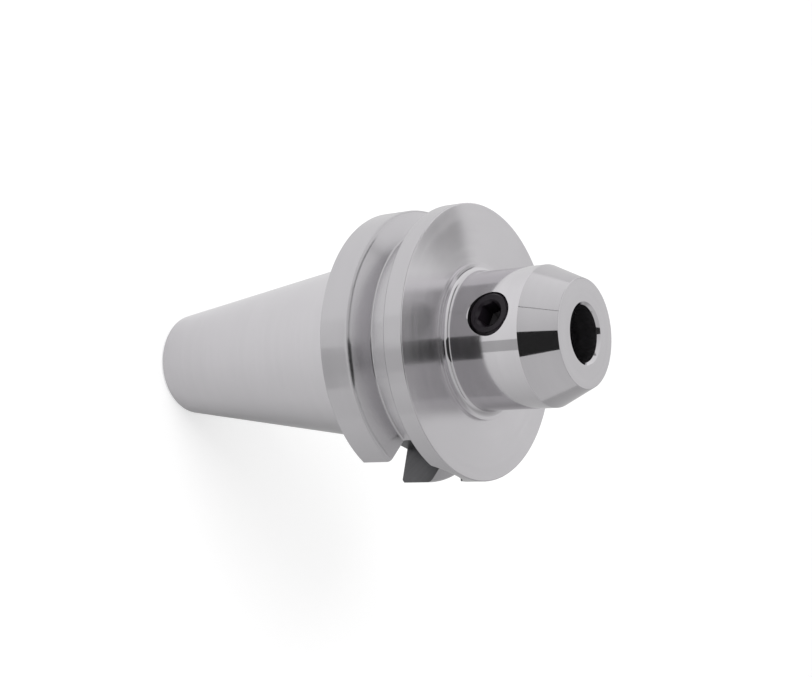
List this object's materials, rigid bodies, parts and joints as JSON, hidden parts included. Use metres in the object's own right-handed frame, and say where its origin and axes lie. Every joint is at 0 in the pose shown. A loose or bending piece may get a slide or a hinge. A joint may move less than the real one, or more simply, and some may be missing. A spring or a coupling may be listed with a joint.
{
  "type": "endmill holder",
  "caption": "Side-lock endmill holder: steep spindle taper, grooved flange with drive slots, cylindrical nose with a tool bore and a black clamping screw.",
  "frame": {"origin": "on the spindle axis at the gauge plane of the taper", "axes": "+Z along the spindle axis toward the nose, +X through the middle of one drive slot, -Y through the clamping screw"},
  "size_m": [0.1, 0.1, 0.1818],
  "materials": {
    "ground_steel": "turned and finely ground bare steel, satin",
    "black_oxide_steel": "black oxide on alloy steel, slightly oiled"
  },
  "bodies": {
    "holder": {"holder_body": "ground_steel"},
    "screw": {"clamp_screw": "black_oxide_steel"}
  },
  "joints": [
    {"name": "screw_travel", "type": "slide", "parent": "holder", "child": "screw", "axis": [0, -1, 0], "range_m": [-0.0021, 0.015]}
  ]
}
